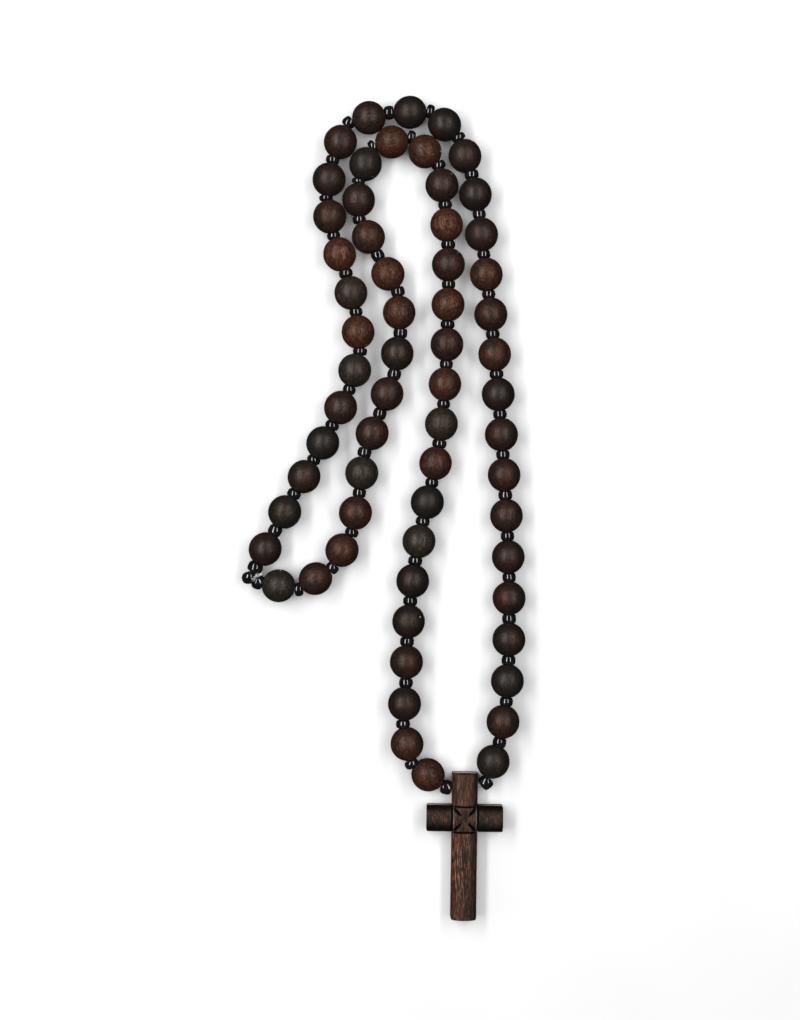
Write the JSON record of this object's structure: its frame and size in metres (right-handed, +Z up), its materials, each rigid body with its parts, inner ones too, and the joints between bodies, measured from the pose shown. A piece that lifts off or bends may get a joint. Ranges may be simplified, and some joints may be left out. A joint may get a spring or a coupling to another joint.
{
  "type": "rosary",
  "caption": "Loop of turned dark wooden beads spaced by black glass seed beads on one clear knotted cord, with a small carved wooden cross hung on it, laid flat.",
  "frame": {"origin": "on the table, under the middle of the rosary as it lies", "axes": "+Y runs along the rosary's length away from the cross, +X to the right with the cross towards the viewer, +Z up off the table"},
  "size_m": [0.067, 0.1957, 0.0081],
  "materials": {
    "dark_wood": "stained dark brown, satin",
    "red_wood": "stained reddish brown, satin",
    "black_glass": "black, glossy like glass; the cord itself is clear nylon"
  },
  "bodies": {
    "string": {"cord_with_seed_beads": "black_glass", "glued_beads_first": "dark_wood", "glued_beads_last": "dark_wood"},
    "cross": {"cross": "red_wood"},
    "bead_04_body": {"bead_04": "red_wood"},
    "bead_05_body": {"bead_05": "dark_wood"},
    "bead_06_body": {"bead_06": "dark_wood"},
    "bead_07_body": {"bead_07": "dark_wood"},
    "bead_08_body": {"bead_08": "dark_wood"},
    "bead_09_body": {"bead_09": "red_wood"},
    "bead_10_body": {"bead_10": "red_wood"},
    "bead_11_body": {"bead_11": "red_wood"},
    "bead_12_body": {"bead_12": "dark_wood"},
    "bead_13_body": {"bead_13": "dark_wood"},
    "bead_14_body": {"bead_14": "red_wood"},
    "bead_15_body": {"bead_15": "red_wood"},
    "bead_16_body": {"bead_16": "dark_wood"},
    "bead_17_body": {"bead_17": "red_wood"},
    "bead_18_body": {"bead_18": "dark_wood"},
    "bead_19_body": {"bead_19": "red_wood"},
    "bead_20_body": {"bead_20": "dark_wood"},
    "bead_21_body": {"bead_21": "dark_wood"},
    "bead_22_body": {"bead_22": "dark_wood"},
    "bead_23_body": {"bead_23": "red_wood"},
    "bead_24_body": {"bead_24": "dark_wood"},
    "bead_25_body": {"bead_25": "dark_wood"},
    "bead_26_body": {"bead_26": "dark_wood"},
    "bead_27_body": {"bead_27": "dark_wood"},
    "bead_28_body": {"bead_28": "dark_wood"},
    "bead_29_body": {"bead_29": "dark_wood"},
    "bead_30_body": {"bead_30": "red_wood"},
    "bead_31_body": {"bead_31": "red_wood"},
    "bead_32_body": {"bead_32": "dark_wood"},
    "bead_33_body": {"bead_33": "dark_wood"},
    "bead_34_body": {"bead_34": "dark_wood"},
    "bead_35_body": {"bead_35": "dark_wood"},
    "bead_36_body": {"bead_36": "red_wood"},
    "bead_37_body": {"bead_37": "dark_wood"},
    "bead_38_body": {"bead_38": "dark_wood"},
    "bead_39_body": {"bead_39": "dark_wood"},
    "bead_40_body": {"bead_40": "dark_wood"},
    "bead_41_body": {"bead_41": "dark_wood"},
    "bead_42_body": {"bead_42": "red_wood"},
    "bead_43_body": {"bead_43": "dark_wood"},
    "bead_44_body": {"bead_44": "dark_wood"},
    "bead_45_body": {"bead_45": "dark_wood"},
    "bead_46_body": {"bead_46": "dark_wood"},
    "bead_47_body": {"bead_47": "dark_wood"},
    "bead_48_body": {"bead_48": "dark_wood"},
    "bead_49_body": {"bead_49": "dark_wood"},
    "bead_50_body": {"bead_50": "dark_wood"},
    "bead_51_body": {"bead_51": "dark_wood"},
    "bead_52_body": {"bead_52": "dark_wood"},
    "bead_53_body": {"bead_53": "dark_wood"},
    "bead_54_body": {"bead_54": "red_wood"},
    "bead_55_body": {"bead_55": "dark_wood"},
    "bead_56_body": {"bead_56": "red_wood"},
    "bead_57_body": {"bead_57": "dark_wood"},
    "bead_58_body": {"bead_58": "dark_wood"},
    "bead_59_body": {"bead_59": "dark_wood"}
  },
  "joints": [
    {"name": "cross_swing", "type": "hinge", "parent": "string", "child": "cross", "pos_m": [0.01916, -0.06595, 0.0032], "axis": [-0.9999, 0.014, 0], "range_deg": [0, 90]},
    {"name": "spin_of_bead_04", "type": "hinge", "parent": "string", "child": "bead_04_body", "pos_m": [-0.00691, -0.00103, 0.00375], "axis": [0.1877, 0.9822, 0], "continuous": true},
    {"name": "spin_of_bead_05", "type": "hinge", "parent": "string", "child": "bead_05_body", "pos_m": [-0.00541, 0.00842, 0.00375], "axis": [0.1261, 0.992, 0], "continuous": true},
    {"name": "spin_of_bead_06", "type": "hinge", "parent": "string", "child": "bead_06_body", "pos_m": [-0.00296, 0.01787, 0.00375], "axis": [0.3674, 0.9301, 0], "continuous": true},
    {"name": "spin_of_bead_07", "type": "hinge", "parent": "string", "child": "bead_07_body", "pos_m": [0.00059, 0.02722, 0.00375], "axis": [0.3424, 0.9396, 0], "continuous": true},
    {"name": "spin_of_bead_08", "type": "hinge", "parent": "string", "child": "bead_08_body", "pos_m": [0.00302, 0.03681, 0.00375], "axis": [0.1458, 0.9893, 0], "continuous": true},
    {"name": "spin_of_bead_09", "type": "hinge", "parent": "string", "child": "bead_09_body", "pos_m": [0.00347, 0.04656, 0.00375], "axis": [-0.0563, 0.9984, 0], "continuous": true},
    {"name": "spin_of_bead_10", "type": "hinge", "parent": "string", "child": "bead_10_body", "pos_m": [0.0008, 0.05575, 0.00375], "axis": [-0.4827, 0.8758, 0], "continuous": true},
    {"name": "spin_of_bead_11", "type": "hinge", "parent": "string", "child": "bead_11_body", "pos_m": [-0.00385, 0.0645, 0.00375], "axis": [-0.4557, 0.8902, 0], "continuous": true},
    {"name": "spin_of_bead_12", "type": "hinge", "parent": "string", "child": "bead_12_body", "pos_m": [-0.00615, 0.0733, 0.00375], "axis": [-0.0114, 0.9999, 0], "continuous": true},
    {"name": "spin_of_bead_13", "type": "hinge", "parent": "string", "child": "bead_13_body", "pos_m": [-0.0045, 0.0818, 0.00375], "axis": [0.383, 0.9237, 0], "continuous": true},
    {"name": "spin_of_bead_14", "type": "hinge", "parent": "string", "child": "bead_14_body", "pos_m": [0.00175, 0.08705, 0.00375], "axis": [0.9695, 0.245, 0], "continuous": true},
    {"name": "spin_of_bead_15", "type": "hinge", "parent": "string", "child": "bead_15_body", "pos_m": [0.0096, 0.0848, 0.00375], "axis": [0.6965, -0.7176, 0], "continuous": true},
    {"name": "spin_of_bead_16", "type": "hinge", "parent": "string", "child": "bead_16_body", "pos_m": [0.01365, 0.07675, 0.00375], "axis": [0.1592, -0.9872, 0], "continuous": true},
    {"name": "spin_of_bead_17", "type": "hinge", "parent": "string", "child": "bead_17_body", "pos_m": [0.01477, 0.06739, 0.00375], "axis": [0.0775, -0.997, 0], "continuous": true},
    {"name": "spin_of_bead_18", "type": "hinge", "parent": "string", "child": "bead_18_body", "pos_m": [0.01517, 0.05793, 0.00375], "axis": [0.0082, -1, 0], "continuous": true},
    {"name": "spin_of_bead_19", "type": "hinge", "parent": "string", "child": "bead_19_body", "pos_m": [0.01511, 0.04844, 0.00375], "axis": [-0.0223, -0.9998, 0], "continuous": true},
    {"name": "spin_of_bead_20", "type": "hinge", "parent": "string", "child": "bead_20_body", "pos_m": [0.01483, 0.03897, 0.00375], "axis": [-0.0356, -0.9994, 0], "continuous": true},
    {"name": "spin_of_bead_21", "type": "hinge", "parent": "string", "child": "bead_21_body", "pos_m": [0.01435, 0.02952, 0.00375], "axis": [-0.0661, -0.9978, 0], "continuous": true},
    {"name": "spin_of_bead_22", "type": "hinge", "parent": "string", "child": "bead_22_body", "pos_m": [0.01352, 0.0201, 0.00375], "axis": [-0.1097, -0.994, 0], "continuous": true},
    {"name": "spin_of_bead_23", "type": "hinge", "parent": "string", "child": "bead_23_body", "pos_m": [0.01212, 0.01076, 0.00375], "axis": [-0.1858, -0.9826, 0], "continuous": true},
    {"name": "spin_of_bead_24", "type": "hinge", "parent": "string", "child": "bead_24_body", "pos_m": [0.01016, 0.0015, 0.00375], "axis": [-0.2286, -0.9735, 0], "continuous": true},
    {"name": "spin_of_bead_25", "type": "hinge", "parent": "string", "child": "bead_25_body", "pos_m": [0.00819, -0.00776, 0.00375], "axis": [-0.188, -0.9822, 0], "continuous": true},
    {"name": "spin_of_bead_26", "type": "hinge", "parent": "string", "child": "bead_26_body", "pos_m": [0.00671, -0.0172, 0.00373], "axis": [-0.1225, -0.9925, -0.0035], "continuous": true},
    {"name": "spin_of_bead_27", "type": "hinge", "parent": "string", "child": "bead_27_body", "pos_m": [0.00573, -0.02682, 0.0037], "axis": [-0.0803, -0.9968, -0.0035], "continuous": true},
    {"name": "spin_of_bead_28", "type": "hinge", "parent": "string", "child": "bead_28_body", "pos_m": [0.00522, -0.03647, 0.00372], "axis": [-0.0246, -0.9997, 0.007], "continuous": true},
    {"name": "spin_of_bead_29", "type": "hinge", "parent": "string", "child": "bead_29_body", "pos_m": [0.00476, -0.04637, 0.00396], "axis": [-0.0673, -0.9968, 0.0421], "continuous": true},
    {"name": "spin_of_bead_30", "type": "hinge", "parent": "string", "child": "bead_30_body", "pos_m": [0.00536, -0.05587, 0.00421], "axis": [0.2081, -0.9781, 0.0079], "continuous": true},
    {"name": "spin_of_bead_31", "type": "hinge", "parent": "string", "child": "bead_31_body", "pos_m": [0.01035, -0.06325, 0.00373], "axis": [0.8039, -0.5856, -0.1042], "continuous": true},
    {"name": "spin_of_bead_32", "type": "hinge", "parent": "string", "child": "bead_32_body", "pos_m": [0.0258, -0.06015, 0.00373], "axis": [0.2995, 0.9483, 0.1048], "continuous": true},
    {"name": "spin_of_bead_33", "type": "hinge", "parent": "string", "child": "bead_33_body", "pos_m": [0.0281, -0.05061, 0.00436], "axis": [0.1647, 0.9861, 0.0215], "continuous": true},
    {"name": "spin_of_bead_34", "type": "hinge", "parent": "string", "child": "bead_34_body", "pos_m": [0.02916, -0.04092, 0.00427], "axis": [0.0537, 0.9978, -0.0389], "continuous": true},
    {"name": "spin_of_bead_35", "type": "hinge", "parent": "string", "child": "bead_35_body", "pos_m": [0.02951, -0.03111, 0.00391], "axis": [0.0176, 0.9993, -0.0333], "continuous": true},
    {"name": "spin_of_bead_36", "type": "hinge", "parent": "string", "child": "bead_36_body", "pos_m": [0.02959, -0.0213, 0.00373], "axis": [-0.0015, 1, -0.0038], "continuous": true},
    {"name": "spin_of_bead_37", "type": "hinge", "parent": "string", "child": "bead_37_body", "pos_m": [0.0294, -0.0115, 0.00372], "axis": [-0.038, 0.9993, 0.0019], "continuous": true},
    {"name": "spin_of_bead_38", "type": "hinge", "parent": "string", "child": "bead_38_body", "pos_m": [0.02896, -0.0017, 0.00374], "axis": [-0.0522, 0.9986, 0.0019], "continuous": true},
    {"name": "spin_of_bead_39", "type": "hinge", "parent": "string", "child": "bead_39_body", "pos_m": [0.02841, 0.00799, 0.00375], "axis": [-0.0601, 0.9982, 0], "continuous": true},
    {"name": "spin_of_bead_40", "type": "hinge", "parent": "string", "child": "bead_40_body", "pos_m": [0.02777, 0.01756, 0.00375], "axis": [-0.074, 0.9973, 0], "continuous": true},
    {"name": "spin_of_bead_41", "type": "hinge", "parent": "string", "child": "bead_41_body", "pos_m": [0.02701, 0.02712, 0.00375], "axis": [-0.0848, 0.9964, 0], "continuous": true},
    {"name": "spin_of_bead_42", "type": "hinge", "parent": "string", "child": "bead_42_body", "pos_m": [0.02616, 0.03664, 0.00375], "axis": [-0.0919, 0.9958, 0], "continuous": true},
    {"name": "spin_of_bead_43", "type": "hinge", "parent": "string", "child": "bead_43_body", "pos_m": [0.02524, 0.04612, 0.00375], "axis": [-0.1025, 0.9947, 0], "continuous": true},
    {"name": "spin_of_bead_44", "type": "hinge", "parent": "string", "child": "bead_44_body", "pos_m": [0.02417, 0.05558, 0.00375], "axis": [-0.1208, 0.9927, 0], "continuous": true},
    {"name": "spin_of_bead_45", "type": "hinge", "parent": "string", "child": "bead_45_body", "pos_m": [0.02305, 0.06509, 0.00375], "axis": [-0.1144, 0.9934, 0], "continuous": true},
    {"name": "spin_of_bead_46", "type": "hinge", "parent": "string", "child": "bead_46_body", "pos_m": [0.0216, 0.07459, 0.00375], "axis": [-0.1873, 0.9823, 0], "continuous": true},
    {"name": "spin_of_bead_47", "type": "hinge", "parent": "string", "child": "bead_47_body", "pos_m": [0.0191, 0.08375, 0.00375], "axis": [-0.3383, 0.941, 0], "continuous": true},
    {"name": "spin_of_bead_48", "type": "hinge", "parent": "string", "child": "bead_48_body", "pos_m": [0.01425, 0.0912, 0.00375], "axis": [-0.7348, 0.6783, 0], "continuous": true},
    {"name": "spin_of_bead_49", "type": "hinge", "parent": "string", "child": "bead_49_body", "pos_m": [0.00605, 0.0941, 0.00375], "axis": [-0.9998, -0.0202, 0], "continuous": true},
    {"name": "spin_of_bead_50", "type": "hinge", "parent": "string", "child": "bead_50_body", "pos_m": [-0.0037, 0.0928, 0.00375], "axis": [-0.9701, -0.2425, 0], "continuous": true},
    {"name": "spin_of_bead_51", "type": "hinge", "parent": "string", "child": "bead_51_body", "pos_m": [-0.01045, 0.08705, 0.00375], "axis": [-0.3939, -0.9191, 0], "continuous": true},
    {"name": "spin_of_bead_52", "type": "hinge", "parent": "string", "child": "bead_52_body", "pos_m": [-0.01315, 0.07815, 0.00375], "axis": [-0.1699, -0.9855, 0], "continuous": true},
    {"name": "spin_of_bead_53", "type": "hinge", "parent": "string", "child": "bead_53_body", "pos_m": [-0.01302, 0.06932, 0.00375], "axis": [0.1939, -0.981, 0], "continuous": true},
    {"name": "spin_of_bead_54", "type": "hinge", "parent": "string", "child": "bead_54_body", "pos_m": [-0.01066, 0.06037, 0.00375], "axis": [0.3113, -0.9503, 0], "continuous": true},
    {"name": "spin_of_bead_55", "type": "hinge", "parent": "string", "child": "bead_55_body", "pos_m": [-0.00799, 0.05123, 0.00375], "axis": [0.2508, -0.968, 0], "continuous": true},
    {"name": "spin_of_bead_56", "type": "hinge", "parent": "string", "child": "bead_56_body", "pos_m": [-0.00629, 0.04193, 0.00375], "axis": [0.1053, -0.9944, 0], "continuous": true},
    {"name": "spin_of_bead_57", "type": "hinge", "parent": "string", "child": "bead_57_body", "pos_m": [-0.00708, 0.03281, 0.00375], "axis": [-0.2741, -0.9617, 0], "continuous": true},
    {"name": "spin_of_bead_58", "type": "hinge", "parent": "string", "child": "bead_58_body", "pos_m": [-0.01043, 0.02396, 0.00375], "axis": [-0.429, -0.9033, 0], "continuous": true},
    {"name": "spin_of_bead_59", "type": "hinge", "parent": "string", "child": "bead_59_body", "pos_m": [-0.01466, 0.01557, 0.00375], "axis": [-0.4727, -0.8812, 0], "continuous": true}
  ]
}
